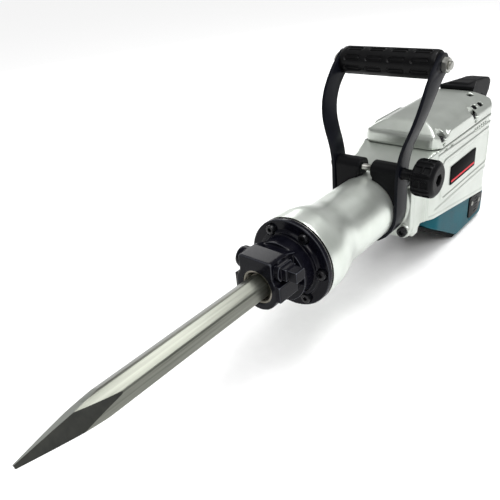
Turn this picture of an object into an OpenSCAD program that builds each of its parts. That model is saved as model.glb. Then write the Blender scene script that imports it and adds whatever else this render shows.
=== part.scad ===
// Electric demolition hammer with a hexagon chisel, a clamped side handle and a sprung rear trigger.
// Lengths are millimetres. The strike axis lies along X with the chisel at -X, and Z points up.
// Stations along X are counted from the front cover's mounting plane, heights from the strike axis.

/* [Frame] */
// Height of the strike axis above the foot
axis_h = 147; // [130:1:170]
// Distance of the foot's centre behind the front cover's mounting plane
foot_x = 480; // [470:1:490]

/* [Chisel] */
// Width of the hexagon bar across its flats
hex_af = 30; // [26:0.5:32]
// Whole length of the chisel
chisel_len = 410; // [340:5:560]
// Station of the chisel's rear end
chisel_back = 15; // [13:0.5:15]
// Length of the chisel's pointed end
point_len = 130; // [80:1:160]
// Width of the chisel's flat tip
tip_w = 4; // [2:0.5:8]
// Travel of the chisel in the tool holder
chisel_travel = 22; // [10:1:26]

/* [Nose] */
// Station of the nose's front face, in front of the mounting plane
nose_len = 68; // [62:1:80]
// Radius of the front cover's flange
flange_r = 62.5; // [60:0.5:70]
// Thickness of the front cover's flange
flange_t = 7; // [6:0.5:9]
// Radius of the round neck behind the nose
neck_r = 42; // [38:0.5:44]
// Half width of the nose's upper block
nose_half = 26; // [25:0.5:32]
// Height of the nose's top above the strike axis
nose_top = 41; // [40:0.5:48]
// Radius of the nose's round lower side
nose_round = 32; // [29:0.5:36]
// Radius of the circle that the front screws stand on
screw_circle = 51.5; // [50.5:0.1:52]
// Number of front screws
screw_count = 6; // [4:1:8]
// Outer radius of the tool holder's front sleeve
holder_r = 23; // [22:0.5:24]

/* [Stop lever] */
// Station of the stop lever's axis
lever_x = -50; // [-52:0.5:-46]
// Height of the stop lever's axis
lever_z = 26.5; // [26:0.1:27]
// Radius of the stop lever's pin
lever_r = 11.5; // [11:0.1:12]
// Radius of the stop lever's round collar
collar_r = 15; // [13:0.5:15]
// Reach of the stop lever's thumb key from the strike axis
key_reach = 56; // [50:1:64]

/* [Barrel] */
// Radius of the barrel's straight part
barrel_r = 50; // [48:0.5:52]
// Bore radius of the barrel
barrel_bore = 43; // [42:0.5:44]
// Station of the barrel's front end
barrel_front = 10; // [10:0.5:12]
// Station where the barrel meets the crank case
barrel_back = 240; // [234:1:246]
// Bore radius of the cylinder liner
liner_bore = 33; // [30:0.5:35]

/* [Side handle] */
// Station of the middle of the strap
strap_x = 204; // [200:1:210]
// Width of the strap
strap_w = 32; // [26:1:34]
// Thickness of the strap
strap_t = 5; // [4:0.5:6]
// Half width of the loop, to the middle of the strap
loop_half = 77; // [70:1:85]
// Height of the side grip above the strike axis
grip_z = 203; // [190:1:220]
// Distance of the side grip behind the strap
grip_back = 56; // [46:1:62]
// Radius of the side grip
grip_r = 20; // [17:0.5:22]
// Height of the clamp bolt above the barrel's side
bolt_up = 12; // [11:0.5:16]
// Radius of the clamp knob
knob_r = 27; // [22:0.5:30]

/* [Housing] */
// Half width of the crank case
case_half = 66; // [64:0.5:72]
// Height of the joint between the crank case and the top cover
joint_z = 65; // [62:0.5:67]
// Height of the top cover's flat top
cover_z = 104; // [102:0.5:110]
// Wall thickness of the castings
wall = 4; // [3:0.25:5]
// Station of the crank case's rear wall
case_back = 536; // [534:1:544]
// Wall thickness of the tail cover
tail_wall = 3; // [2.5:0.25:4]
// Height of the hammer below the strike axis, without its foot
tail_drop = 140; // [138:1:146]

/* [Gears] */
// Station of the motor's axis
motor_x = 483; // [481:0.5:484]
// Teeth of the motor's pinion
pinion_teeth = 11; // [10:1:12]
// Teeth of the intermediate wheel
wheel_teeth = 64; // [60:1:66]
// Module of the first gear pair
module_one = 1.5; // [1.4:0.05:1.55]
// Teeth of the intermediate pinion
small_teeth = 16; // [15:1:17]
// Teeth of the final gear
final_teeth = 40; // [38:1:41]
// Module of the second gear pair
module_two = 2.5; // [2.4:0.05:2.5]

/* [Motor] */
// Outer radius of the stator
stator_r = 44; // [42:0.5:44.5]
// Radius of the armature's core
armature_r = 25; // [22:0.5:26]
// Radius of the fan
fan_r = 42; // [36:0.5:43]

/* [Rear handle] */
// Width of the rear handle
handle_w = 36; // [34:1:42]
// Station of the rear handle's rearmost point
handle_back = 640; // [634:1:650]

/* [Hidden] */
$fn = 96;

// Clearances: gap keeps two pieces apart, run is a running fit, seat is a fixed round seat
gap = 0.3;
run = 0.05;
seat = 0.1;
// Overshoot of every cut
cut = 1;

// Chisel
hex_r = hex_af / sqrt(3);
tip_x = chisel_back - chisel_len;
notch_z = lever_z - lever_r - 0.5;

// Gears
stage_one = module_one * (pinion_teeth + wheel_teeth) / 2;
stage_two = module_two * (small_teeth + final_teeth) / 2;
inter_x = motor_x - stage_one;
crank_x = inter_x - stage_two;
gear_b0 = joint_z + 1.5;
gear_b1 = gear_b0 + 11;
gear_a0 = gear_b1 + 1;
gear_a1 = gear_a0 + 7;

// Air-spring hammer
crank_throw = 24;
rod_len = 143;
crank_pin_x = crank_x + crank_throw;
piston_pin_x = crank_pin_x - rod_len;
piston_front = piston_pin_x - 32;
piston_back = piston_pin_x + 16;
liner_front = barrel_front + 56;
liner_back = barrel_back + 34;
case_flange_t = 8;

// Front of the crank case, and the clamp bolt over the barrel
front_half = barrel_r + 8;
front_top = barrel_r + 1;
bolt_z = barrel_r + bolt_up;

// Bearing plate under the gears
plate_z = joint_z - 6;
plate_x = 302;

// Front screws and barrel flange
ring_t = 1.6;
screw_head_r = 6.5;
screw_r = 4;

// Tail and motor
tail_half = case_half - 6;
coil_x = armature_r + 5;

// Points of an arc, in the order of its angles
function arc(x, y, r, a0, a1, n) = [for (i = [0:n]) [x + r * cos(a0 + (a1 - a0) * i / n), y + r * sin(a0 + (a1 - a0) * i / n)]];

// Corner points of a polygon with every corner rounded to its own radius, in n steps
function unit(v) = v / norm(v);
function corner(a, b, c, r, n) =
    let (u = unit(a - b), v = unit(c - b))
    let (half = acos(u * v) / 2)
    let (m = b + unit(u + v) * r / sin(half))
    let (p = b + u * r / tan(half), q = b + v * r / tan(half))
    let (s = atan2(p[1] - m[1], p[0] - m[0]), e = atan2(q[1] - m[1], q[0] - m[0]))
    let (turn = e - s > 180 ? e - s - 360 : e - s < -180 ? e - s + 360 : e - s)
    r == 0 ? [b] : arc(m[0], m[1], r, s, s + turn, n);
function rounded(pts, radii, n = 4) =
    let (k = len(pts))
    [for (i = [0:k - 1]) each corner(pts[(i + k - 1) % k], pts[i], pts[(i + 1) % k], radii[i], n)];

// Moves a shape from the hammer's stations and heights to the foot's frame
module hammer() {
    translate([-foot_x, 0, axis_h]) children();
}

// Cylinder along X between two stations
module rod_x(x0, x1, r) {
    translate([x0, 0, 0]) rotate([0, 90, 0]) cylinder(r = r, h = x1 - x0);
}

// Cylinder along Y between two widths, round a point in the XZ plane
module rod_y(x, z, y0, y1, r) {
    translate([x, y1, z]) rotate([90, 0, 0]) cylinder(r = r, h = y1 - y0);
}

// Cylinder along Z between two heights
module rod_z(x, y, z0, z1, r) {
    translate([x, y, z0]) cylinder(r = r, h = z1 - z0);
}

// Ring along Z
module ring_z(x, z0, z1, r_out, r_in) {
    difference() {
        rod_z(x, 0, z0, z1, r_out);
        rod_z(x, 0, z0 - cut, z1 + cut, r_in);
    }
}

// Ring along X
module ring_x(x0, x1, r_out, r_in) {
    difference() {
        rod_x(x0, x1, r_out);
        rod_x(x0 - cut, x1 + cut, r_in);
    }
}

// Hexagon along X with corners up and down
module hex_x(x0, x1, r) {
    translate([x0, 0, 0]) rotate([0, 90, 0]) cylinder(r = r, h = x1 - x0, $fn = 6);
}

// Side outline in the XZ plane, spread over a half width
module side(half) {
    translate([0, half, 0]) rotate([90, 0, 0]) linear_extrude(2 * half) children();
}

// Front outline in the YZ plane, spread between two stations
module front(x0, x1) {
    translate([x0, 0, 0]) rotate([90, 0, 90]) linear_extrude(x1 - x0) children();
}

// Plan outline in the XY plane, spread between two heights
module plan(z0, z1) {
    translate([0, 0, z0]) linear_extrude(z1 - z0) children();
}

// Places a child at each front screw
module at_front_screws() {
    for (i = [0:screw_count - 1])
        rotate([i * 360 / screw_count, 0, 0]) translate([0, screw_circle, 0]) children();
}

// Chisel: hexagon bar with a four-sided point and a notch for the stop lever
module chisel_body() {
    point = [[tip_x, -tip_w / 2], [tip_x, tip_w / 2], [tip_x + point_len, hex_r], [chisel_back, hex_r],
        [chisel_back, -hex_r], [tip_x + point_len, -hex_r]];
    difference() {
        intersection() {
            hex_x(tip_x, chisel_back, hex_r);
            rotate([45, 0, 0]) side(hex_r + cut) polygon(point);
            rotate([-45, 0, 0]) side(hex_r + cut) polygon(point);
        }
        translate([lever_x - 9, -hex_r, notch_z]) cube([18 + chisel_travel, 2 * hex_r, hex_r]);
    }
}

module chisel() {
    color("darkgray") hammer() chisel_body();
}

// Nose casting: flange, neck, upper block, round lower side, two side pads and the lever's boss
module nose_shape() {
    pad_low = -12;
    pad_high = lever_z - collar_r - 1;
    pad_half = 36;
    top = [[-nose_half + 4, -neck_r / 2], [nose_half - 4, -neck_r / 2], [nose_half, 0],
        [nose_half, nose_top], [-nose_half, nose_top], [-nose_half, 0]];
    rod_x(0, flange_t, flange_r);
    rod_x(-24, 0, neck_r);
    rod_x(-nose_len, -20, nose_round);
    intersection() {
        front(-nose_len, -20) polygon(rounded(top, [0, 0, 0, 3, 3, 0]));
        side(nose_half + cut) polygon([[-nose_len, -neck_r], [-20, -neck_r], [-20, nose_top - 6],
            [-nose_len + 30, nose_top], [-nose_len, nose_top]]);
    }
    translate([-nose_len + 1, -pad_half, pad_low]) cube([38, 2 * pad_half, pad_high - pad_low]);
    rod_y(lever_x, lever_z, 0, nose_half + 8, collar_r - 0.5);
}

module front_cover() {
    color("#16181c") hammer() difference() {
        nose_shape();
        rod_x(-nose_len - cut, 20, holder_r + seat);
        rod_y(lever_x, lever_z, -50, 50, lever_r + run);
        rod_y(lever_x, lever_z, -60, -nose_half, collar_r + gap);
        at_front_screws() rod_x(-cut, flange_t + cut, screw_r + seat);
        at_front_screws() rod_x(-20, 3, screw_head_r + 0.5);
    }
}

// Tool holder: hexagon sleeve with a rear collar in the barrel
module tool_holder() {
    color("lightgray") hammer() difference() {
        union() {
            rod_x(-nose_len + 2, barrel_front, holder_r);
            rod_x(barrel_front, barrel_front + 30, barrel_bore - seat);
        }
        translate([-nose_len + 2, 0, 0]) rotate([0, 90, 0])
            cylinder(r1 = hex_r + 3.5, r2 = hex_r - 1, h = 5);
        hex_x(-nose_len, chisel_back + 3, hex_r + 0.2);
        rod_x(chisel_back, barrel_front + 31, 14 + run);
        rod_y(lever_x, lever_z, -50, 50, lever_r + gap);
    }
}

// Stop lever: pin with a half-moon flat, a round collar with two flats, a step and a thumb key
module stop_lever() {
    flat = lever_z - hex_r - 0.6;
    key_y = nose_half + gap;
    step_y = key_y + 7.7;
    color("#1b1d21") hammer() translate([lever_x, 0, lever_z]) difference() {
        union() {
            rod_y(0, 0, -key_y, nose_half + 8, lever_r);
            intersection() {
                rod_y(0, 0, -step_y, -key_y, collar_r);
                translate([-20, -60, -10]) cube([40, 60, 20]);
            }
            translate([-9.5, -step_y - 8, -8]) cube([19, 8 + cut, 16]);
            translate([-8, -key_reach, -7]) cube([16, key_reach - step_y - 6, 14]);
        }
        translate([-20, -20, flat]) cube([40, 40, 20]);
    }
}

// Washer and screw that hold the stop lever in the nose
module lever_retainer() {
    end = nose_half + 8;
    color("dimgray") hammer() translate([lever_x, 0, lever_z]) {
        rod_y(0, 0, end + gap, end + 2.3, 13);
        rod_y(0, 0, end + 2.3, end + 6.3, 6);
    }
}

module front_screws() {
    color("#202226") hammer() at_front_screws() difference() {
        union() {
            rod_x(-5, 3, screw_head_r);
            rod_x(3, barrel_front + 20, screw_r);
        }
        hex_x(-6, -1, 3.4);
    }
}

module spacer_ring() {
    color("silver") hammer() difference() {
        ring_x(flange_t, flange_t + ring_t, flange_r - 0.8, holder_r + 1);
        at_front_screws() rod_x(0, 20, screw_r + seat);
    }
}

module front_gasket() {
    color("#101010") hammer() difference() {
        ring_x(flange_t + ring_t, barrel_front, flange_r, holder_r + 1);
        at_front_screws() rod_x(0, 20, screw_r + seat);
    }
}

// Barrel casting: belled front end, straight tube and a rear flange for the crank case
module cylinder_case() {
    bell_r = flange_r - 0.5;
    bell_end = 38;
    neck_end = 96;
    n = 8;
    shape = concat(
        [[0, barrel_front], [bell_r, barrel_front]],
        [for (i = [0:n]) [barrel_r + (bell_r - barrel_r) * (1 + cos(180 * i / n)) / 2,
            bell_end + (neck_end - bell_end) * i / n]],
        [[barrel_r, barrel_back], [0, barrel_back]]);
    flange = [[-front_half, -front_half], [front_half, -front_half], [front_half, front_top],
        [-front_half, front_top]];
    color("#cfd2cf") hammer() difference() {
        union() {
            rotate([0, 90, 0]) rotate_extrude() polygon(shape);
            front(barrel_back - case_flange_t, barrel_back) polygon(rounded(flange, [20, 20, 20, 20]));
        }
        rod_x(0, barrel_back + cut, barrel_bore);
        at_front_screws() rod_x(0, barrel_front + 21, screw_r + seat);
        at_case_bolts() rod_x(barrel_back - 20, barrel_back + cut, 5 + seat);
    }
}

module cylinder_liner() {
    color("gray") hammer() ring_x(liner_front, liner_back, barrel_bore - seat, liner_bore);
}

module damper_ring() {
    color("black") hammer() ring_x(barrel_front + 30, barrel_front + 42, barrel_bore - seat, 22.5);
}

module damper_holder() {
    color("gray") hammer() ring_x(barrel_front + 42, liner_front, barrel_bore - seat, 16 + run);
}

// Impact bolt between the striker and the chisel
module impact_bolt() {
    stop = barrel_front + 30;
    color("lightgray") hammer() {
        rod_x(chisel_back + 0.5, stop + 2, 14);
        rod_x(stop + 0.6, stop + 5.4, 20);
        rod_x(stop + 5, liner_front - 2, 16);
    }
}

module striker() {
    back = piston_front - 2 * crank_throw - 5;
    color("lightgray") hammer() {
        rod_x(back - 65, back - 50, 15);
        rod_x(back - 53, back, liner_bore - run);
    }
}

// Piston with a slot for the connecting rod's small end
module piston() {
    color("silver") hammer() difference() {
        rod_x(piston_front, piston_back, liner_bore - run);
        translate([piston_pin_x - 18, -10, -50]) cube([60, 20, 100]);
        rod_y(piston_pin_x, 0, -50, 50, 7 + run);
        ring_x(piston_front + 5, piston_front + 8, liner_bore + cut, liner_bore - 3);
    }
}

module piston_ring() {
    color("black") hammer() ring_x(piston_front + 5, piston_front + 8, liner_bore - run, liner_bore - 3);
}

module piston_pin() {
    color("gray") hammer() rod_y(piston_pin_x, 0, -liner_bore + 4, liner_bore - 4, 7);
}

// Connecting rod: small end round the piston pin, big end round the crank pin
module connecting_rod() {
    color("gray") hammer() difference() {
        union() {
            rod_y(piston_pin_x, 0, -9.5, 9.5, 13);
            rod_z(crank_pin_x, 0, -9, 9, 17);
            translate([piston_pin_x + 8, -5, -8]) cube([rod_len - 20, 10, 16]);
        }
        rod_y(piston_pin_x, 0, -50, 50, 7 + run);
        rod_z(crank_pin_x, 0, -10, 10, 8 + run);
    }
}

module crank_pin() {
    color("gray") hammer() rod_z(crank_pin_x, 0, -10, 11 - gap, 8);
}

// Crank shaft: disc over the connecting rod and a stepped shaft up to the final gear
module crank_shaft() {
    color("gray") hammer() {
        rod_z(crank_x, 0, 11, 23, 38);
        rod_z(crank_x, 0, 22, gear_b0 - 1, 12);
        rod_z(crank_x, 0, gear_b0 - 2, gear_b1 + 2, 10);
    }
}

module crank_bearings() {
    color("silver") hammer() {
        ring_z(crank_x, 26, 38, 25, 12 + run);
        ring_z(crank_x, plate_z - 12, plate_z, 22, 12 + run);
    }
}

// One gear tooth's outline and a whole gear, with straight flanks that narrow to the tip
module gear(teeth, mod, z0, z1, start) {
    r = teeth * mod / 2;
    step = 360 / teeth;
    root = r - 1.3 * mod;
    tip = r + 0.85 * mod;
    tooth = [[root, 0.36], [r - 0.6 * mod, 0.30], [r, 0.225], [r + 0.5 * mod, 0.155], [tip, 0.10]];
    k = len(tooth);
    flanks = concat([for (i = [0:k - 1]) [tooth[i][0], -tooth[i][1]]],
        [for (i = [k - 1:-1:0]) tooth[i]]);
    pts = [for (t = [0:teeth - 1]) for (p = flanks)
        p[0] * [cos(start + (t + p[1]) * step), sin(start + (t + p[1]) * step)]];
    translate([0, 0, z0]) linear_extrude(z1 - z0) polygon(pts);
}

module final_gear() {
    color("darkgray") hammer() translate([crank_x, 0, 0]) difference() {
        gear(final_teeth, module_two, gear_b0, gear_b1, 0);
        rod_z(0, 0, gear_b0 - cut, gear_b1 + cut, 10);
        for (i = [0:5]) rotate([0, 0, i * 60]) rod_z(30, 0, gear_b0 - cut, gear_b1 + cut, 9);
    }
}

// Intermediate shaft with its pinion and its wheel
module intermediate_gear() {
    color("darkgray") hammer() translate([inter_x, 0, 0]) {
        rod_z(0, 0, gear_b0 - 18, gear_a1 + 1, 8);
        gear(small_teeth, module_two, gear_b0, gear_b1, 180 + 180 / small_teeth);
        gear(wheel_teeth, module_one, gear_a0, gear_a1, 0);
        rod_z(0, 0, gear_b1 - 0.5, gear_a0 + 0.5, 14);
    }
}

module gear_bearings() {
    color("silver") hammer() ring_z(inter_x, gear_b0 - 18, gear_b0 - 8, 17, 8 + run);
}

// Armature: shaft, laminated core, winding ends and the pinion on top
module armature() {
    color("#7a4a2a") hammer() translate([motor_x, 0, 0]) {
        rod_z(0, 0, -124.6, gear_a0 + 1, 6);
        rod_z(0, 0, -70, 6, armature_r);
        rod_z(0, 0, -84, -69, armature_r - 5);
        rod_z(0, 0, 5, 20, armature_r - 5);
        gear(pinion_teeth, module_one, gear_a0, gear_a1, 180 + 180 / pinion_teeth);
    }
}

module commutator() {
    color("#b87333") hammer() ring_z(motor_x, -112, -86, 15, 6);
}

// Fan: hub, disc and blades
module fan() {
    color("#303030") hammer() translate([motor_x, 0, 0]) {
        ring_z(0, 26, 44, 10, 6);
        ring_z(0, 26, 29, fan_r, 9);
        for (i = [0:9]) rotate([0, 0, i * 36]) translate([12, -1, 28]) cube([fan_r - 14, 2, 14]);
    }
}

module armature_bearings() {
    color("silver") hammer() {
        ring_z(motor_x, -125, -116, 14, 6 + run);
        ring_z(motor_x, plate_z - 10, plate_z, 15, 6 + run);
    }
}

module stator() {
    color("dimgray") hammer() difference() {
        rod_z(motor_x, 0, -66, 2, stator_r);
        rod_z(motor_x, 0, -70, 10, armature_r + 0.6);
        for (s = [-1, 1])
            translate([motor_x + s * (coil_x - 3) - 7, -22 - gap, -70]) cube([14, 44 + 2 * gap, 80]);
    }
}

module field_coils() {
    color("#a05a2c") hammer() for (s = [-1, 1])
        translate([motor_x + s * coil_x - 3.5, -22, -78]) cube([7, 44, 92]);
}

// Brush gear, on both sides of the commutator
brush_z = -99;
brush_plate_points = [[motor_x - 12, -128], [motor_x + 34, -128], [motor_x + 52, -106],
    [motor_x + 48, case_bottom(motor_x + 48) - 4], [motor_x - 12, case_bottom(motor_x - 12) - 4]];

module carbon_brushes() {
    color("#202020") hammer() for (s = [-1, 1])
        translate([motor_x - 4, s > 0 ? 15.3 : -33.3, brush_z - 6]) cube([8, 18, 12]);
}

module brush_springs() {
    color("gray") hammer() for (s = [-1, 1])
        rod_y(motor_x, brush_z, s > 0 ? 33.4 : -43, s > 0 ? 43 : -33.4, 3.5);
}

module brush_holders() {
    color("#3a2a1a") hammer() for (s = [-1, 1]) difference() {
        translate([motor_x - 7, s > 0 ? 19 : -45, brush_z - 9]) cube([14, 26, 18]);
        translate([motor_x - 4.1, s > 0 ? 18 : -43.1, brush_z - 6.1]) cube([8.2, 25.1, 12.2]);
    }
}

// Cover plate over a brush, seated in the tail cover's side
module brush_plate(s) {
    intersection() {
        side(tail_half + 1.5) polygon(rounded(brush_plate_points, [8, 8, 8, 8, 8]));
        translate([motor_x - 40, s > 0 ? tail_half - 2 : -tail_half - 1.5, -140]) cube([120, 3.5, 80]);
    }
}

module brush_cover_left() {
    color("#15171a") hammer() brush_plate(1);
}

module brush_cover_right() {
    color("#15171a") hammer() brush_plate(-1);
}

module brush_cover_screws() {
    color("#303236") hammer() for (s = [-1, 1]) {
        rod_y(motor_x, brush_z, s > 0 ? tail_half + 1.5 : -tail_half - 3, s > 0 ? tail_half + 3 : -tail_half - 1.5, 4);
        rod_y(motor_x + 34, -104, s > 0 ? tail_half + 1.5 : -tail_half - 3, s > 0 ? tail_half + 3 : -tail_half - 1.5, 4);
    }
}

// Places a child at each of the four bolts between the barrel and the crank case
module at_case_bolts() {
    for (s = [-1, 1]) {
        translate([0, s * (barrel_r - 3), 5 - barrel_r]) children();
        translate([0, s * (barrel_r - 3), barrel_r - 10]) children();
    }
}

// Height of the crank case's sloping lower edge, and its outlines from the side and from above
function case_bottom(x) = -44 - 0.16 * (x - 258);

module case_side(inset) {
    polygon([[barrel_back + inset, -front_half + inset], [258 + inset, -front_half + inset],
        [262 + inset, case_bottom(262)],
        [case_back - inset, case_bottom(case_back)], [case_back - inset, joint_z], [296, joint_z],
        [264 + inset, 58 - inset], [barrel_back + inset, front_top - inset]]);
}

module case_plan(inset) {
    h = case_half - inset;
    f = front_half - inset;
    polygon(rounded([[barrel_back + inset, -f], [262, -f], [300, -h], [case_back - inset, -h],
        [case_back - inset, h], [300, h], [262, f], [barrel_back + inset, f]],
        [0, 20, 30, 24, 24, 30, 20, 0]));
}

module crank_case() {
    color("#c9cdcb") hammer() difference() {
        intersection() {
            side(case_half + cut) case_side(0);
            plan(-130, joint_z) case_plan(0);
        }
        // Chamber for the crank, closed by the bearing plate
        intersection() {
            side(case_half) polygon([[barrel_back + 8, -44], [motor_x - stator_r - 7, -58],
                [motor_x - stator_r - 7, joint_z + cut], [plate_x + 2, joint_z + cut],
                [plate_x + 2, plate_z - 1], [barrel_back + 8, 46]]);
            plan(-130, joint_z + cut) case_plan(wall + 1);
        }
        // Seat of the bearing plate and clearance round the intermediate shaft's bearing boss
        plate_outline(plate_z, joint_z + cut, 0);
        rod_z(inter_x, 0, gear_b0 - 20, joint_z + cut, 20 + gap);
        // Chamber for the motor, open to the tail cover below
        rod_z(motor_x, 0, -160, joint_z + cut, stator_r + seat);
        rod_z(motor_x, 0, 20, joint_z + cut, fan_r + 4);
        // Bore for the liner's rear end and holes of the case bolts
        rod_x(barrel_back - cut, barrel_back + 20, barrel_bore);
        at_case_bolts() rod_x(barrel_back - cut, barrel_back + 12, 5 + seat);
    }
}

module case_bolts() {
    color("#202226") hammer() at_case_bolts() difference() {
        union() {
            rod_x(barrel_back - case_flange_t - 10, barrel_back - case_flange_t, 8);
            rod_x(barrel_back - case_flange_t - cut, barrel_back + 11, 5);
        }
        hex_x(barrel_back - case_flange_t - 11, barrel_back - case_flange_t - 5, 4.6);
    }
}

// Outline of the bearing plate's seat, with an inset
module plate_outline(z0, z1, inset) {
    intersection() {
        plan(z0, z1) case_plan(wall - 1 + inset);
        translate([plate_x + inset, -case_half, z0 - cut]) cube([300, 2 * case_half, z1 - z0 + 2 * cut]);
    }
}

// Plate that carries the upper bearings and closes the crank chamber
module bearing_plate() {
    color("lightgray") hammer() difference() {
        union() {
            plate_outline(plate_z, joint_z, gap);
            rod_z(crank_x, 0, 24, plate_z + cut, 30);
            rod_z(inter_x, 0, gear_b0 - 19, plate_z + cut, 20);
            rod_z(motor_x, 0, plate_z - 11, plate_z + cut, 18);
        }
        rod_z(crank_x, 0, 0, joint_z + cut, 12 + gap);
        rod_z(crank_x, 0, 0, 38, 25);
        rod_z(crank_x, 0, plate_z - 12, plate_z, 22);
        rod_z(inter_x, 0, gear_b0 - 18, joint_z + cut, 8 + gap);
        rod_z(inter_x, 0, 0, gear_b0 - 8, 17);
        rod_z(motor_x, 0, 0, joint_z + cut, 6 + gap);
        rod_z(motor_x, 0, 0, plate_z, 15);
        rod_z(motor_x, 0, 0, plate_z - 11 - cut, fan_r + 4);
    }
}

// Top cover outline: side, plan and cross-section
module cover_side(inset) {
    polygon(rounded([[296 + inset, joint_z - cut], [296 + inset, 88 - inset], [324 + inset, cover_z - inset],
        [510 - inset, cover_z - inset], [532 - inset, 88 - inset], [case_back - inset, joint_z - cut]],
        [0, 6, 14, 12, 8, 0]));
}

module cover_front(inset) {
    h = case_half - inset;
    polygon([[-h - cut, joint_z - 2 * cut], [-h, 80 - inset], [-h + 16, 94 - inset], [-h + 36, cover_z - inset],
        [h - 36, cover_z - inset], [h - 16, 94 - inset], [h, 80 - inset], [h + cut, joint_z - 2 * cut]]);
}

module cover_body(inset, z0) {
    h = case_half - inset;
    intersection() {
        side(case_half + 5) cover_side(inset);
        front(280, case_back + 2) cover_front(inset);
        plan(z0, cover_z + 2) polygon(rounded([[296 + inset, -h + 12], [310, -h], [case_back - inset, -h],
            [case_back - inset, h], [310, h], [296 + inset, h - 12]], [8, 8, 24, 24, 8, 8]));
    }
}

// Places a child over the two cover bolts of one side
module at_cover_bolts(s) {
    for (x = [318, 445]) translate([x, s * (case_half - 8), 0]) children();
}

// Open-sided pocket that a cover bolt sits in
module bolt_pocket(s) {
    rod_z(0, 0, 76, 120, 7);
    translate([-7, s > 0 ? 0 : -20, 76]) cube([14, 20, 44]);
}

module top_cover() {
    color("#d3d6d4") hammer() difference() {
        cover_body(0, joint_z);
        difference() {
            cover_body(wall, joint_z - cut);
            at_cover_bolts(-1) rod_z(0, 0, joint_z - 2, 100, 9.5);
            at_cover_bolts(1) rod_z(0, 0, joint_z - 2, 100, 9.5);
        }
        for (s = [-1, 1]) {
            at_cover_bolts(s) rod_z(0, 0, joint_z - cut, 120, 3 + seat);
            at_cover_bolts(s) bolt_pocket(s);
            for (i = [0:1])
                translate([470 + i * 12, s > 0 ? 50 : -case_half - 2, 82]) cube([7, case_half - 48, 5]);
        }
    }
}

module top_cover_bolts() {
    color("#303236") hammer() for (s = [-1, 1]) at_cover_bolts(s) difference() {
        union() {
            rod_z(0, 0, 76, 82, 5.5);
            rod_z(0, 0, joint_z + 1, 77, 3);
        }
        translate([0, 0, 79]) cylinder(r = 3, h = 4, $fn = 6);
    }
}

// Tail cover: wedge below the crank case that holds the motor's lower end
tail_front = 262;
tail_back = 560;

module tail_side(inset) {
    polygon([[tail_front + 3 * inset, case_bottom(tail_front) + cut], [tail_front + 3 * inset, case_bottom(tail_front) - 4],
        [foot_x - 55, -tail_drop + inset], [foot_x + 55, -tail_drop + inset],
        [tail_back - inset, -126 + inset], [tail_back + 4 - inset, -112], [case_back + 4 - inset, case_bottom(case_back) + cut]]);
}

module tail_plan(inset) {
    h = tail_half - inset;
    polygon(rounded([[tail_front - 2 + inset, -h + 22], [330, -h], [tail_back + 6 - inset, -h], [tail_back + 6 - inset, h],
        [330, h], [tail_front - 2 + inset, h - 22]], [10, 30, 30, 30, 30, 10]));
}

module tail_body(inset) {
    intersection() {
        side(tail_half + cut) tail_side(inset);
        plan(-tail_drop - cut, 0) tail_plan(inset);
    }
}

// Space above the tail cover's sloping upper edge
module above_tail() {
    x0 = tail_front - 20;
    x1 = tail_back + 30;
    side(case_half + 2) polygon([[x0, case_bottom(x0)], [x1, case_bottom(x1)], [x1, 10], [x0, 10]]);
}

// Post under the lower bearing, ledges under the brush holders and posts for the tail screws
module tail_posts() {
    rod_z(motor_x, 0, -tail_drop - cut, -112, 19);
    for (s = [-1, 1])
        translate([motor_x - 12, s > 0 ? 28 : -tail_half, -tail_drop]) cube([24, tail_half - 28, tail_drop + brush_z - 9]);
    at_tail_screws() rod_z(0, 0, -tail_drop, 0, 6);
}

module tail_cover() {
    color("#14667a") hammer() difference() {
        tail_body(0);
        difference() {
            tail_body(tail_wall);
            tail_posts();
        }
        above_tail();
        rod_z(motor_x, 0, -125.1, 0, 14 + seat);
        for (s = [-1, 1])
            translate([motor_x - 7.1, s > 0 ? 18.9 : -45.1, brush_z - 9.1]) cube([14.2, 26.2, 40]);
        for (s = [-1, 1]) brush_plate_seat(s);
        at_tail_screws() rod_z(0, 0, -tail_drop - cut, 0, 2.5);
    }
}

// Seat of a brush cover plate in the tail cover's side
module brush_plate_seat(s) {
    intersection() {
        side(tail_half + 2) polygon(rounded(brush_plate_points, [8, 8, 8, 8, 8]));
        translate([motor_x - 40, s > 0 ? tail_half - 2 : -tail_half - 2, -140]) cube([120, 4, 80]);
    }
}

// Foot: pad under the tail cover with an upturned front strip
module tail_foot() {
    h = tail_half - 8;
    strip = [[tail_front, case_bottom(tail_front) - 4], [foot_x - 55, -tail_drop],
        [foot_x + 55, -tail_drop], [foot_x + 55, -axis_h], [foot_x - 57, -axis_h],
        [tail_front, case_bottom(tail_front) - 11.5]];
    color("#141414") hammer() side(h) polygon(strip);
}

module at_tail_screws() {
    for (s = [-1, 1]) {
        translate([430, s * 40, 0]) children();
        translate([530, s * 34, 0]) children();
    }
}

module tail_screws() {
    color("gray") hammer() at_tail_screws() rod_z(0, 0, -tail_drop + gap, -110, 2.5);
}

// Side labels on both sides of the crank case
module side_labels() {
    plate = [[354, -12], [458, -12], [458, 21], [354, 21]];
    color("#111111") hammer() for (s = [-1, 1]) translate([0, s * (case_half + 0.4), 0])
        side(0.4) polygon(rounded(plate, [2, 2, 2, 2]));
}

// Rear handle outline in the XZ plane, from the top cover's rear over and down the grip
base_x = case_back + gap;

module handle_outline() {
    polygon(rounded([[512, cover_z + 0.6], [524, 113], [600, 106], [handle_back - 12, 101],
        [handle_back, 92], [handle_back - 6, 74], [handle_back - 18, 62], [handle_back - 10, 40],
        [handle_back - 4, 0], [handle_back - 4, -44], [handle_back - 14, -66], [600, -74], [552, -70],
        [base_x, -60], [base_x, joint_z + 1], [case_back - 2.5, 88.5]],
        [0, 6, 40, 8, 8, 8, 10, 14, 30, 14, 14, 14, 10, 0, 0, 0]));
}

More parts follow.
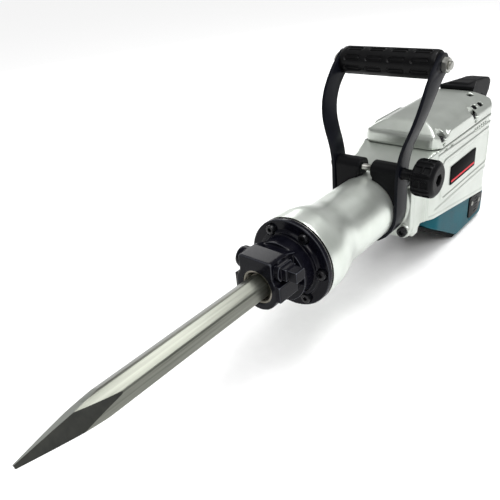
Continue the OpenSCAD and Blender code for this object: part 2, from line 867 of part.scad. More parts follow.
module finger_opening() {
    polygon(rounded([[558, 74], [594, 78], [604, 66], [604, 20], [608, -12], [602, -44], [576, -48],
        [558, -40]], [10, 8, 8, 20, 20, 12, 12, 10]));
}

// Pocket in the grip for the switch, and its cover's outline with an inset
module handle_pocket(inset) {
    polygon([[611 + inset, 58 - inset], [616 - inset, 58 - inset], [622 - inset, 34], [627 - inset, 0],
        [627 - inset, -34 + inset], [611 + inset, -40 + inset]]);
}

trigger_x = 610;
trigger_z = 60;

module at_handle_screws() {
    for (z = [-48, 46]) for (s = [-1, 1]) translate([0, s * 32, z]) children();
}

// Flared foot of the rear handle over the top cover
saddle = [[510, -34], [510, 34], [566, handle_w / 2 - 2], [566, 2 - handle_w / 2]];

module rear_handle() {
    color("#141518") hammer() difference() {
        union() {
            side(handle_w / 2) handle_outline();
            translate([base_x, -40, -58]) cube([9, 80, 112]);
            plan(cover_z + 0.6, cover_z + 6) polygon(rounded(saddle, [4, 4, 0, 0]));
        }
        side(50) finger_opening();
        translate([0, handle_w / 2 + cut - 12, 0]) side(handle_w / 2) handle_pocket(0);
        rod_z(gland_x, 0, -90, -38, 9);
        translate([596, -6, 12]) cube([20, 12, 54.5]);
        rod_y(trigger_x, trigger_z, -12, 30, 2 + seat);
        at_handle_screws() rod_x(case_back, 560, 3 + seat);
    }
}

module handle_cover() {
    color("#1a1c20") hammer() translate([0, handle_w / 2 - 2, 0]) side(2) handle_pocket(seat);
}

module handle_screws() {
    color("silver") hammer() at_handle_screws() {
        rod_x(base_x, base_x + 9, 3);
        rod_x(base_x + 9, base_x + 13, 5);
    }
}

// Trigger: hinged at its top on a pin, its lower end pressed into the grip
module trigger() {
    lever = [[604.5, 64], [614, 64], [614, 54], [608, 46], [607, 15], [598, 15], [592, 22], [594, 44]];
    color("#1c1d20") hammer() difference() {
        side(5.7) polygon(rounded(lever, [4, 3, 2, 4, 2, 3, 5, 12]));
        rod_y(trigger_x, trigger_z, -10, 10, 2 + run);
        translate([0, 0, 26]) rod_x(604, 609, 3);
    }
}

module trigger_pin() {
    color("silver") hammer() rod_y(trigger_x, trigger_z, -11.9, 15, 2);
}

module trigger_spring() {
    color("silver") hammer() translate([0, 0, 26]) rod_x(604.2, 614.3, 2.2);
}

module switch() {
    color("#222222") hammer() translate([614.5, -6, 2]) cube([5.5, 14, 36]);
}

// Cord gland: sleeve that the cord enters through
gland_x = 614;

module cord_gland() {
    color("#101010") hammer() difference() {
        rod_z(gland_x, 0, -88, -38, 9 - seat);
        rod_z(gland_x, 0, -90, -30, 5);
    }
}

// Side handle: strap bent round the barrel and up into a loop
crease_low = 82;
crease_high = 150;
barrel_gap = barrel_r + gap;
bend = atan((loop_half - strap_t / 2 - barrel_gap) / (crease_high - crease_low));
shift = strap_t * tan(bend / 2);
sweep_z = 100;
sweep_r = (pow(grip_back, 2) + pow(grip_z - sweep_z, 2)) / (2 * grip_back);
sweep_a = asin((grip_z - sweep_z) / sweep_r);

// Points of a line mirrored in Y, in the opposite order
function mirrored(pts) = [for (i = [len(pts) - 1:-1:0]) [-pts[i][0], pts[i][1]]];

module strap_front_outline() {
    top = grip_z + 30;
    inner = barrel_gap;
    outer = inner + strap_t;
    far = loop_half + strap_t / 2;
    right = [[far - strap_t, crease_high], [inner, crease_low]];
    polygon(concat(
        [[far, top], [far - strap_t, top]], right, arc(0, 0, inner, 0, -180, 24), mirrored(right),
        [[strap_t - far, top], [-far, top], [-far, crease_high - shift], [-outer, crease_low - shift]],
        arc(0, 0, outer, -180, 0, 24), [[outer, crease_low - shift], [far, crease_high - shift]]));
}

module strap_side_outline() {
    x0 = strap_x - strap_w / 2;
    mid = strap_x + sweep_r;
    polygon(concat([[x0, -70], [x0 + strap_w, -70]],
        arc(mid, sweep_z, sweep_r - strap_w / 2, 180, 180 - sweep_a, 10),
        arc(mid, sweep_z, sweep_r + strap_w / 2, 180 - sweep_a, 180, 10)));
    translate([strap_x + grip_back, grip_z]) circle(r = strap_w / 2);
}

module handle_strap() {
    color("#17191d") hammer() difference() {
        intersection() {
            front(strap_x - 30, strap_x + 120) strap_front_outline();
            side(loop_half + 10) strap_side_outline();
        }
        rod_y(strap_x, bolt_z, -100, 100, 5 + seat);
        rod_y(strap_x + grip_back, grip_z, -100, 100, 6 + seat);
    }
}

// Clamp blocks between the strap and the barrel, drawn together by the clamp bolt
module clamp_block() {
    top = bolt_z + 13;
    difference() {
        union() {
            front(strap_x - 14, strap_x + 14) polygon(concat(
                arc(0, 0, barrel_gap, 14, 76, 12), [[12, top], [barrel_gap, top]]));
            rod_y(strap_x, bolt_z, 9, 30, 14);
        }
        rod_x(strap_x - 40, strap_x + 40, barrel_gap);
        rod_y(strap_x, bolt_z, 0, 100, 5 + seat);
    }
}

module clamp_blocks() {
    color("#1c1e22") hammer() {
        clamp_block();
        mirror([0, 1, 0]) clamp_block();
    }
}

knob_in = 76;
knob_out = 108.5;

module clamp_bolt() {
    out = barrel_gap + strap_t;
    color("gray") hammer() {
        rod_y(strap_x, bolt_z, -knob_out + 16, out + 1, 5);
        rod_y(strap_x, bolt_z, out, out + 7, 9);
    }
}

module clamp_spacer() {
    out = barrel_gap + strap_t;
    color("#222428") hammer() difference() {
        rod_y(strap_x, bolt_z, -knob_in + gap, -out, 8);
        rod_y(strap_x, bolt_z, -100, 100, 5 + seat);
    }
}

// Clamp knob with eight grooves and a hexagon recess
module clamp_knob() {
    color("#1a1b1e") hammer() translate([strap_x, 0, bolt_z]) difference() {
        rod_y(0, 0, -knob_out, -knob_in, knob_r);
        rod_y(0, 0, -knob_out + 15, -knob_in + cut, 5 + run);
        for (i = [0:7]) rotate([0, i * 45, 0]) rod_y(knob_r + 3, 0, -knob_out - cut, -knob_in + cut, 5.5);
        translate([0, -knob_out + 9, 0]) rotate([90, 0, 0]) cylinder(r = 9, h = 20, $fn = 6);
    }
}

module side_grip() {
    half = loop_half - strap_t / 2 - seat;
    color("#151515") hammer() difference() {
        rod_y(strap_x + grip_back, grip_z, -half, half, grip_r);
        rod_y(strap_x + grip_back, grip_z, -100, 100, 6 + seat);
    }
}

module grip_rod() {
    out = loop_half + strap_t / 2;
    color("silver") hammer() {
        rod_y(strap_x + grip_back, grip_z, -out - 12, out + 12, 6);
        for (s = [-1, 1]) difference() {
            translate([strap_x + grip_back, s > 0 ? out + 8 : -out, grip_z]) rotate([90, 0, 0]) cylinder(r = 10.5, h = 8, $fn = 6);
            rod_y(strap_x + grip_back, grip_z, -120, 120, 6);
        }
    }
}

chisel();
front_cover();
tool_holder();
stop_lever();
lever_retainer();
front_screws();
spacer_ring();
front_gasket();
cylinder_case();
cylinder_liner();
damper_ring();
damper_holder();
impact_bolt();
striker();
piston();
piston_ring();
piston_pin();
connecting_rod();
crank_pin();
crank_shaft();
crank_bearings();
final_gear();
intermediate_gear();
gear_bearings();
armature();
commutator();
fan();
armature_bearings();
stator();
field_coils();
carbon_brushes();
brush_springs();
brush_holders();
brush_cover_left();
brush_cover_right();
brush_cover_screws();
crank_case();
bearing_plate();
case_bolts();
top_cover();
top_cover_bolts();
tail_cover();
tail_foot();
tail_screws();
side_labels();
rear_handle();
handle_cover();
handle_screws();
trigger();
trigger_pin();
trigger_spring();
switch();
cord_gland();
handle_strap();
clamp_blocks();
clamp_bolt();
clamp_spacer();
clamp_knob();
side_grip();
grip_rod();
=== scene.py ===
"""Looks of the electric demolition hammer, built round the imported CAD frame.

Shapes are modelled in millimetres: x counts from the front cover's mounting plane towards the rear
handle, y to the left, z up from the strike axis. place() moves each piece to the frame, in metres.
"""

import math

import bmesh
import bpy
from mathutils import Matrix, Vector


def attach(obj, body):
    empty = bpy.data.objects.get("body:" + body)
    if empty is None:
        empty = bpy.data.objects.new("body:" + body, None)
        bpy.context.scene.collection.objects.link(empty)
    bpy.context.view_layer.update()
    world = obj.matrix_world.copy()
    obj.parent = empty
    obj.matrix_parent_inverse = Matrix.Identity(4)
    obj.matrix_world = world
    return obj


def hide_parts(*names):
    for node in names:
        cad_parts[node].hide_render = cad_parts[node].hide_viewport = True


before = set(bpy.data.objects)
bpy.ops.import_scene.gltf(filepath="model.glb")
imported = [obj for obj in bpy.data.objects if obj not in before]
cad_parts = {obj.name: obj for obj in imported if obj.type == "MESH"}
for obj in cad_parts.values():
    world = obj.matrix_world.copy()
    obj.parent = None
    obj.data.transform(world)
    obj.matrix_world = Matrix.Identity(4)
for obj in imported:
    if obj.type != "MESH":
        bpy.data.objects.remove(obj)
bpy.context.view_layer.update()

# The frame's x = 0 is at station FOOT_X, and the strike axis runs AXIS_H above the floor.
FOOT_X = 480
AXIS_H = 147
TO_FRAME = Matrix.Scale(0.001, 4) @ Matrix.Translation((-FOOT_X, 0, AXIS_H))
TO_MM = TO_FRAME.inverted()


# ---------------------------------------------------------------- materials

RAMP_STOPS = (0.32, 0.68)
# Pointiness range for the lighter edges, which are partly edge wear and partly a painted highlight
WEAR_AND_HIGHLIGHT_START, WEAR_AND_HIGHLIGHT_FULL, WEAR_AND_HIGHLIGHT_MIX = 0.52, 0.58, 0.7
GRAIN_DEPTH = 0.0004
STREAK_GRAIN = 3.0


def material(name, light, dark, metallic=0.0, rough=0.4, rough_spread=0.06, scale=(60, 60, 60),
             bump=0.05, bump_scale=900, coat=0.0, coat_rough=0.1, wear_and_highlight=None, specular=0.5):
    """Procedural surface: clouded colour, uneven gloss, fine grain and, with wear_and_highlight,
    lighter edges that are partly edge wear and partly a painted highlight.
    """
    mat = bpy.data.materials.new(name)
    mat.use_nodes = True
    nodes, links = mat.node_tree.nodes, mat.node_tree.links
    shader = nodes["Principled BSDF"]
    shader.inputs["Metallic"].default_value = metallic
    shader.inputs["Coat Weight"].default_value = coat
    shader.inputs["Coat Roughness"].default_value = coat_rough
    shader.inputs["Specular IOR Level"].default_value = specular
    coords = nodes.new("ShaderNodeTexCoord")
    mapping = nodes.new("ShaderNodeMapping")
    mapping.inputs["Scale"].default_value = scale
    links.new(coords.outputs["Object"], mapping.inputs["Vector"])

    cloud = nodes.new("ShaderNodeTexNoise")
    cloud.inputs["Scale"].default_value = 1.0
    cloud.inputs["Detail"].default_value = 5.0
    links.new(mapping.outputs["Vector"], cloud.inputs["Vector"])
    ramp = nodes.new("ShaderNodeValToRGB")
    for stop, place_on_ramp, tone in zip(ramp.color_ramp.elements, RAMP_STOPS, (dark, light)):
        stop.position = place_on_ramp
        stop.color = (*tone, 1)
    links.new(cloud.outputs["Fac"], ramp.inputs["Fac"])
    colour = ramp.outputs["Color"]
    # Sharp edges get a lighter colour: partly edge wear, partly a painted highlight
    if wear_and_highlight:
        geometry = nodes.new("ShaderNodeNewGeometry")
        edge = nodes.new("ShaderNodeMapRange")
        edge.inputs["From Min"].default_value = WEAR_AND_HIGHLIGHT_START
        edge.inputs["From Max"].default_value = WEAR_AND_HIGHLIGHT_FULL
        edge.inputs["To Max"].default_value = WEAR_AND_HIGHLIGHT_MIX
        links.new(geometry.outputs["Pointiness"], edge.inputs["Value"])
        mix = nodes.new("ShaderNodeMix")
        mix.data_type = "RGBA"
        links.new(edge.outputs["Result"], mix.inputs["Factor"])
        links.new(colour, mix.inputs["A"])
        mix.inputs["B"].default_value = (*wear_and_highlight, 1)
        colour = mix.outputs["Result"]
    links.new(colour, shader.inputs["Base Color"])

    gloss = nodes.new("ShaderNodeMapRange")
    gloss.inputs["To Min"].default_value = rough - rough_spread
    gloss.inputs["To Max"].default_value = rough + rough_spread
    links.new(cloud.outputs["Fac"], gloss.inputs["Value"])
    links.new(gloss.outputs["Result"], shader.inputs["Roughness"])

    grain = nodes.new("ShaderNodeTexNoise")
    grain.name = "grain"
    grain.inputs["Scale"].default_value = bump_scale
    grain.inputs["Detail"].default_value = 3.0
    links.new(coords.outputs["Object"], grain.inputs["Vector"])
    relief = nodes.new("ShaderNodeBump")
    relief.inputs["Strength"].default_value = bump
    relief.inputs["Distance"].default_value = GRAIN_DEPTH
    links.new(grain.outputs["Fac"], relief.inputs["Height"])
    links.new(relief.outputs["Normal"], shader.inputs["Normal"])
    return mat


def streaked(name, light, dark, stretch, rough=0.3, metallic=1.0, bump=0.06):
    """Ground or drawn metal: the same surface with its clouds and grain drawn out along one axis."""
    mat = material(name, light, dark, metallic, rough, 0.08, scale=stretch, bump=bump)
    nodes = mat.node_tree.nodes
    grain = nodes["grain"]
    grain.inputs["Scale"].default_value = STREAK_GRAIN
    mat.node_tree.links.new(nodes["Mapping"].outputs["Vector"], grain.inputs["Vector"])
    return mat


SILVER = material("silver_coat", (0.515, 0.545, 0.505), (0.45, 0.48, 0.44), metallic=0.78, rough=0.31,
                  rough_spread=0.04, scale=(25, 25, 25), bump=0.10, bump_scale=1400, coat=0.10,
                  coat_rough=0.2)
BARREL = material("satin_aluminium", (0.65, 0.685, 0.64), (0.56, 0.60, 0.55), metallic=0.80, rough=0.31,
                  rough_spread=0.05, scale=(30, 18, 18), bump=0.10, bump_scale=1200)
# The nose's lighter edges are partly edge wear and partly a painted highlight
NOSE = material("black_coated_iron", (0.0038, 0.0038, 0.0065), (0.0020, 0.0020, 0.0038), rough=0.22,
                scale=(90, 90, 90), bump=0.16, bump_scale=500, coat=0.16, coat_rough=0.14,
                wear_and_highlight=(0.14, 0.15, 0.17), specular=0.03)
STRAP = material("black_powder_coat", (0.0055, 0.0060, 0.0090), (0.0035, 0.0040, 0.0060), rough=0.30,
                 scale=(35, 35, 35), bump=0.10, bump_scale=1500, coat=0.14, coat_rough=0.2,
                 specular=0.02)
BLACK_PLASTIC = material("black_moulding", (0.0048, 0.0050, 0.0056), (0.0030, 0.0031, 0.0035),
                         rough=0.38, scale=(40, 40, 40), bump=0.20, bump_scale=2200, coat=0.10,
                         coat_rough=0.25, specular=0.03)
HANDLE_BLACK = material("handle_moulding", (0.0042, 0.0044, 0.0050), (0.0028, 0.0029, 0.0033),
                        rough=0.42, scale=(40, 40, 40), bump=0.30, bump_scale=1700, coat=0.08,
                        coat_rough=0.3, specular=0.02)
GRIP_RUBBER = material("grip_rubber", (0.0052, 0.0052, 0.0056), (0.0030, 0.0030, 0.0033), rough=0.40,
                       scale=(70, 70, 70), bump=0.25, bump_scale=1300, coat=0.16, coat_rough=0.22,
                       specular=0.03)
DARK_RUBBER = material("foot_rubber", (0.0040, 0.0040, 0.0044), (0.0026, 0.0026, 0.0029), rough=0.6,
                       bump=0.3, bump_scale=1100, specular=0.03)
TEAL = material("teal_moulding", (0.0010, 0.080, 0.106), (0.0008, 0.062, 0.084), rough=0.36,
                scale=(30, 30, 30), bump=0.14, bump_scale=1800, specular=0.05)
LABEL_BLACK = material("label_black", (0.0035, 0.0035, 0.0040), (0.0028, 0.0028, 0.0032), rough=0.4,
                       bump=0.03, specular=0.01)
LABEL_RED = material("label_red", (0.66, 0.004, 0.018), (0.56, 0.003, 0.015), rough=0.4, bump=0.03,
                     specular=0.12)
BAR_STEEL = streaked("drawn_steel", (0.185, 0.190, 0.165), (0.115, 0.120, 0.102), (8, 300, 300),
                     rough=0.34, metallic=0.92)
# Darker copy of the point's ground steel: painted shade on the ground faces that don't look up
SHADED_POINT_STEEL = streaked("ground_point_painted_shade", (0.020, 0.021, 0.017), (0.011, 0.012, 0.010), (160, 160, 40),
                       rough=0.50, metallic=0.35, bump=0.12)
# Paler copy of the point's ground steel: painted light on the ground faces that look up
LIT_POINT_STEEL = streaked("ground_point_painted_light", (0.16, 0.17, 0.15), (0.11, 0.12, 0.10), (60, 300, 300),
                        rough=0.42, metallic=0.7)
TURNED = streaked("turned_steel", (0.20, 0.185, 0.155), (0.10, 0.095, 0.078), (500, 60, 60), rough=0.28)
ZINC = material("zinc_plate", (0.42, 0.42, 0.39), (0.28, 0.28, 0.26), metallic=1.0, rough=0.30,
                scale=(200, 200, 200), bump=0.08)
BLACK_SCREW = material("black_oxide", (0.0070, 0.0072, 0.0088), (0.0038, 0.0040, 0.0050), metallic=0.2,
                       rough=0.28, scale=(200, 200, 200), bump=0.12, bump_scale=900, specular=0.3)
DULL_STEEL = material("dull_steel", (0.42, 0.42, 0.42), (0.28, 0.28, 0.28), metallic=1.0, rough=0.4,
                      scale=(80, 80, 80), bump=0.1)
COPPER = material("copper", (0.72, 0.34, 0.16), (0.50, 0.20, 0.09), metallic=1.0, rough=0.35,
                  scale=(120, 120, 120), bump=0.1)


# ---------------------------------------------------------------- mesh tools

def link(name, data):
    """An object for a mesh, camera or lamp, linked to the scene."""
    ob = bpy.data.objects.new(name, data)
    bpy.context.scene.collection.objects.link(ob)
    return ob


def new_object(name, bm):
    mesh = bpy.data.meshes.new(name)
    bmesh.ops.recalc_face_normals(bm, faces=bm.faces)
    bm.to_mesh(mesh)
    bm.free()
    return link(name, mesh)


def loft(name, rings, closed=False):
    """Skin over rings of points of one count. Ends are capped unless the loft is closed."""
    bm = bmesh.new()
    rows = [[bm.verts.new(p) for p in ring] for ring in rings]
    count = len(rows[0])
    for i in range(len(rows) - (0 if closed else 1)):
        a, b = rows[i], rows[(i + 1) % len(rows)]
        for j in range(count):
            bm.faces.new((a[j], a[(j + 1) % count], b[(j + 1) % count], b[j]))
    if not closed:
        bm.faces.new(rows[0][::-1])
        bm.faces.new(rows[-1])
    return new_object(name, bm)


def at(axis, t, p):
    """Point at station t of an axis; p is (y, z) for x, (x, z) for y and (x, y) for z."""
    return {"x": (t, *p), "y": (p[0], t, p[1]), "z": (*p, t)}[axis]


def prism(points, axis, low, high, name="prism"):
    """A polygon spread along an axis, its points given as for at()."""
    return loft(name, [[at(axis, t, p) for p in points] for t in (low, high)])


def side_prism(points, side, near, far, name="prism"):
    """A polygon of (x, z) spread between two distances from the middle, on side 1 or -1."""
    return prism(points, "y", *sorted((side * near, side * far)), name)


def rect(x0, x1, y0, y1):
    return [(x0, y0), (x1, y0), (x1, y1), (x0, y1)]


def block(low, high):
    return prism(rect(low[0], high[0], low[1], high[1]), "z", low[2], high[2], "block")


def side_block(x, side, near, far, z):
    """A block over the spans x and z, between two distances from the middle on side 1 or -1."""
    y = sorted((side * near, side * far))
    return block((x[0], y[0], z[0]), (x[1], y[1], z[1]))


def rounded(corners, radii, steps=6):
    """Corner points of a polygon with each corner rounded to its own radius."""
    out, count = [], len(corners)
    radii = [radii] * count if isinstance(radii, (int, float)) else radii
    for i, (corner, r) in enumerate(zip(corners, radii)):
        b = Vector(corner)
        u = (Vector(corners[i - 1]) - b).normalized()
        v = (Vector(corners[(i + 1) % count]) - b).normalized()
        half = math.acos(max(-1, min(1, u.dot(v)))) / 2
        straight = half > 1.56
        if r <= 0 or straight:
            out.append(tuple(b))
            continue
        centre = b + (u + v).normalized() * r / math.sin(half)
        p, q = b + u * r / math.tan(half), b + v * r / math.tan(half)
        start = math.atan2(*(p - centre).yx)
        turn = math.atan2(*(q - centre).yx) - start
        turn -= 2 * math.pi * round(turn / (2 * math.pi))
        for k in range(steps + 1):
            a = start + turn * k / steps
            out.append((centre.x + r * math.cos(a), centre.y + r * math.sin(a)))
    return out


def circle(x, y, r, count=48, start=0.0):
    angles = [start + 2 * math.pi * i / count for i in range(count)]
    return [(x + r * math.cos(a), y + r * math.sin(a)) for a in angles]


def lathe(name, profile, axis="x", centre=(0, 0), count=96, closed=False):
    """A profile of (station, radius) turned round an axis through centre, given as for at()."""
    return loft(name, [[at(axis, t, p) for p in circle(*centre, r, count)] for t, r in profile], closed)

def bake(ob):
    """Applies the object's modifiers."""
    graph = bpy.context.evaluated_depsgraph_get()
    graph.update()
    mesh = bpy.data.meshes.new_from_object(ob.evaluated_get(graph))
    old = ob.data
    ob.modifiers.clear()
    ob.data = mesh
    bpy.data.meshes.remove(old)
    return ob


def combine(ob, others, operation):
    for other in others:
        mod = ob.modifiers.new("boolean", "BOOLEAN")
        mod.operation = operation
        mod.solver = "MANIFOLD"
        mod.object = other
        bake(ob)
        bpy.data.objects.remove(other)
    return ob


def cut(ob, *others):
    return combine(ob, others, "DIFFERENCE")


def add(ob, *others):
    return combine(ob, others, "UNION")


def common(ob, *others):
    return combine(ob, others, "INTERSECT")


def soften(ob, voxel, passes):
    """Remeshes a solid into an even skin and rounds its edges, as on a casting."""
    mod = ob.modifiers.new("remesh", "REMESH")
    mod.mode = "VOXEL"
    mod.voxel_size = voxel
    mod.adaptivity = 0
    mod = ob.modifiers.new("smooth", "SMOOTH")
    mod.factor = 0.5
    mod.iterations = passes
    return bake(ob)


def bevel(ob, width, segments=3, angle=30):
    mod = ob.modifiers.new("bevel", "BEVEL")
    mod.width = width
    mod.segments = segments
    mod.limit_method = "ANGLE"
    mod.angle_limit = math.radians(angle)
    return bake(ob)


def from_cad(node, name):
    """A copy of a CAD node's mesh, in millimetres, to be refined."""
    weld = 0.002
    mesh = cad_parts[node].data.copy()
    mesh.transform(TO_MM)
    mesh.materials.clear()
    bm = bmesh.new()
    bm.from_mesh(mesh)
    bmesh.ops.remove_doubles(bm, verts=bm.verts, dist=weld)
    bmesh.ops.recalc_face_normals(bm, faces=bm.faces)
    bm.to_mesh(mesh)
    bm.free()
    return link(name, mesh)


def join(name, obs):
    """Puts several pieces' meshes in one object."""
    bm = bmesh.new()
    for ob in obs:
        bm.from_mesh(ob.data)
        bpy.data.objects.remove(ob)
    mesh = bpy.data.meshes.new(name)
    bm.to_mesh(mesh)
    bm.free()
    return link(name, mesh)


def place(ob, body, mats, nodes=(), slot=None, sharp=38, pick=None):
    """Moves a piece to the frame, shades it, and lets it ride on its body in place of CAD nodes."""
    ob.data.transform(TO_FRAME)
    mats = mats if isinstance(mats, (list, tuple)) else [mats]
    ob.data.materials.clear()
    for mat in mats:
        ob.data.materials.append(mat)
    bm = bmesh.new()
    bm.from_mesh(ob.data)
    limit = math.radians(sharp)
    for face in bm.faces:
        face.smooth = True
        face.material_index = pick(face) if pick else 0
    for edge in bm.edges:
        edge.smooth = len(edge.link_faces) == 2 and edge.calc_face_angle(0) < limit
    bm.to_mesh(ob.data)
    bm.free()
    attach(ob, body)
    if nodes:
        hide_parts(*nodes)
    slot or (nodes[0] if nodes else ob.name)
    return ob


def socket_screw(name, x, y, z, axis, sign, r, height, socket):
    """Head of a screw with a rounded rim and a hexagon socket; sign is its outward way."""
    socket_depth = 3.2
    profile = [(0, r), (height - 0.9, r), (height - 0.25, r - 0.3), (height, r - 1.0)]
    base = {"x": x, "y": y, "z": z}[axis]
    centre = {"x": (y, z), "y": (x, z), "z": (x, y)}[axis]
    head = lathe(name, [(base + sign * t, rr) for t, rr in profile], axis, centre, 40)
    low, high = sorted((base + sign * (height - socket_depth), base + sign * (height + 1)))
    return cut(head, prism(circle(*centre, socket, 6), axis, low, high))


# ---------------------------------------------------------------- camera, light and floor

CAMERA_AT = (-0.9599, -0.3887, 0.5216)
CAMERA_RIGHT = Vector((0.64698, -0.75652, -0.09538))
CAMERA_UP = Vector((0.42957, 0.25827, 0.86531))

camera = link("camera", bpy.data.cameras.new("camera"))
camera.data.sensor_width = 36
camera.data.lens = 39.37
camera.data.clip_start = 0.05
camera.data.clip_end = 50
camera_turn = Matrix((CAMERA_RIGHT, CAMERA_UP, CAMERA_RIGHT.cross(CAMERA_UP))).transposed()
camera.matrix_world = Matrix.Translation(CAMERA_AT) @ camera_turn.to_4x4()
bpy.context.scene.camera = camera


def area_light(name, location, target, size, power):
    lamp = bpy.data.lights.new(name, "AREA")
    lamp.shape = "RECTANGLE"
    lamp.size, lamp.size_y = size
    lamp.energy = power
    ob = link(name, lamp)
    ob.location = location
    ob.rotation_mode = "QUATERNION"
    ob.rotation_quaternion = (Vector(target) - Vector(location)).to_track_quat("-Z", "Y")


area_light("key_light", (-1.3, -1.9, 1.9), (0.0, 0.0, 0.1), (1.0, 1.0), 20)
area_light("top_light", (0.35, -0.5, 2.3), (-0.3, 0.0, 0.1), (1.3, 0.7), 28)
area_light("rim_light", (0.9, 1.9, 1.3), (-0.1, 0.0, 0.15), (1.2, 0.7), 14)
sky = bpy.data.lights.new("soft_sky", "SUN")
sky.energy = 2.1
sky.angle = math.radians(70)
link("soft_sky", sky).rotation_euler = (math.radians(12), math.radians(-14), 0)

bpy.context.scene.view_settings.view_transform = "Standard"
world = bpy.data.worlds.new("studio")
bpy.context.scene.world = world
world.use_nodes = True
background = world.node_tree.nodes["Background"]
background.inputs["Color"].default_value = (1.0, 1.0, 1.0, 1)
background.inputs["Strength"].default_value = 0.35

floor_mesh = bmesh.new()
bmesh.ops.create_grid(floor_mesh, x_segments=1, y_segments=1, size=30)
floor = new_object("floor", floor_mesh)
floor.data.materials.append(material("pale_floor", (0.93, 0.93, 0.93), (0.91, 0.91, 0.91), rough=0.9,
                                     bump=0.0, specular=0.0))


# ---------------------------------------------------------------- chisel

HEX_R = 30 / math.sqrt(3)


def chisel():
    """Hexagon bar with softened corners and a leaf-shaped, four-sided ground point."""
    tip, taper, back_x = -395.0, 130.0, 15.0
    corners = [math.radians(90 + 60 * i) for i in range(6)]
    section = rounded([(HEX_R * math.cos(a), HEX_R * math.sin(a)) for a in corners], 4.5, 6)
    steps, straight_end = 40, back_x - 6
    stations = [straight_end - (straight_end - tip) * i / steps for i in range(steps + 1)]
    rings = [[(back_x, p[0] * 0.93, p[1] * 0.93) for p in section]]
    rings += [[(x, *p) for p in section] for x in [back_x - 1.2] + stations]
    bar = loft("chisel_bar", rings[::-1])

    curve = [0.115, 0.28, 0.44, 0.59, 0.73, 0.86, 0.97, 1.06]
    edge = [(tip + taper * i / (len(curve) - 1), HEX_R * c) for i, c in enumerate(curve)]
    outline = edge + [(back_x + 2, HEX_R * 1.3), (back_x + 2, -HEX_R * 1.3)]
    outline += [(x, -h) for x, h in edge[::-1]]
    for turn in (60, -30):
        wedge = prism(outline, "y", -60, 60)
        wedge.data.transform(Matrix.Rotation(math.radians(turn), 4, "X"))
        common(bar, wedge)
    bevel(bar, 0.5, 2, 16)
    flat_for_lever = block((-59, -20, 14.5), (-19, 20, 20))
    cut(bar, flat_for_lever)
    ground_end = (tip + taper + 8 - FOOT_X) * 0.001

    def pick(face):
        """0 for the bar, 1 for a ground face darkened as painted shade, 2 for the up-facing ground
        faces made paler as painted light.
        """
        if face.normal.x > -0.05 or face.calc_center_median().x > ground_end:
            return 0
        return 2 if face.normal.z > 0.7 else 1

    place(bar, "chisel", [BAR_STEEL, SHADED_POINT_STEEL, LIT_POINT_STEEL], ["chisel"], sharp=14, pick=pick)


# ---------------------------------------------------------------- nose

FRONT_SCREW_TURNS = [math.radians(60 * i) for i in range(6)]
FRONT_SCREWS = [(51.5 * math.cos(a), 51.5 * math.sin(a)) for a in FRONT_SCREW_TURNS]
LEVER_AXIS = (-50, 26.5)


def nose():
    """Front cover: the CAD casting with softened edges and a stepped neck."""
    body = from_cad("front_cover", "nose_casting")
    add(body, lathe("neck_step", [(-3.5, 46.5), (-1.0, 48.0), (1, 48.0)]))
    cut(body, lathe("bore", [(-80, 23.1), (30, 23.1)]),
        lathe("pin_bore", [(-60, 11.6), (60, 11.6)], "y", LEVER_AXIS))
    for centre in FRONT_SCREWS:
        cut(body, lathe("seat", [(-9, 7.4), (3, 7.4)], "x", centre, 40))
    soften(body, 0.85, 9)
    place(body, "hammer", NOSE, ["front_cover"])


def front_screws():
    heads = [socket_screw("front_screw", 3, y, z, "x", -1, 6.5, 8, 3.4) for y, z in FRONT_SCREWS]
    place(join("front_screw_heads", heads), "hammer", BLACK_SCREW, ["front_screws"])


def stop_lever():
    """Stop lever's pin, and the washer and screw that hold it."""
    lever = soften(from_cad("stop_lever", "stop_lever_pin"), 0.6, 3)
    place(lever, "stop_lever", NOSE, ["stop_lever"])
    profile = [(34.3, 12.2), (34.9, 13), (35.9, 13), (36.3, 12.4), (36.31, 6), (39.6, 6), (40.3, 5.2)]
    disc = lathe("lever_disc", profile, "y", LEVER_AXIS, 64)
    cut(disc, prism(circle(*LEVER_AXIS, 2.9, 6), "y", 37.5, 42))
    place(disc, "stop_lever", BLACK_SCREW, ["lever_retainer"])


# ---------------------------------------------------------------- barrel

CASE_BOLT_Z = (-45, 40)


def barrel():
    """Turned casting with a belled front end, and its rear flange."""
    inner, bell, neck = 43.0, 62.0, 50.0
    profile = [(10.0, inner), (10.0, bell - 0.8), (10.4, bell - 0.25), (11.2, bell)]
    profile += [(x, bell) for x in (16, 24, 32)]
    for i in range(25):
        t = i / 24
        profile.append((36 + 62 * t, neck + (bell - neck) * (1 + math.cos(math.pi * t)) / 2))
    profile += [(x, neck) for x in range(104, 241, 8)] + [(240, neck), (240, inner)]
    tube = lathe("barrel_tube", profile, count=128, closed=True)
    place(tube, "hammer", BARREL, ["cylinder_case"], sharp=50)

    flange = prism(rounded(rect(-58, 58, -58, 51), 20, 8), "x", 230.5, 239.8, "barrel_flange")
    for s in (-1, 1):
        for z in CASE_BOLT_Z:
            add(flange, lathe("boss", [(227.5, 11.5), (236, 12.5)], "x", (s * 46, z), 40))
    add(flange, lathe("collar", [(221, 50.2), (224, 52.0), (236, 55)]))
    cut(flange, lathe("inside", [(200, inner), (260, inner)]))
    soften(flange, 1.0, 5)
    place(flange, "hammer", SILVER, slot="cylinder_case")


def case_bolts():
    heads = [socket_screw("case_bolt", 228.5, s * 47, z, "x", -1, 8, 6.5, 4.4)
             for s in (-1, 1) for z in CASE_BOLT_Z]
    place(join("case_bolt_heads", heads), "hammer", BLACK_SCREW, ["case_bolts"])


# ---------------------------------------------------------------- housing

def low_edge(x):
    """Height of the crank case's sloping lower edge."""
    return -44 - 0.16 * (x - 258)


CASE_HALF = 65.2
CASE_BACK = 536


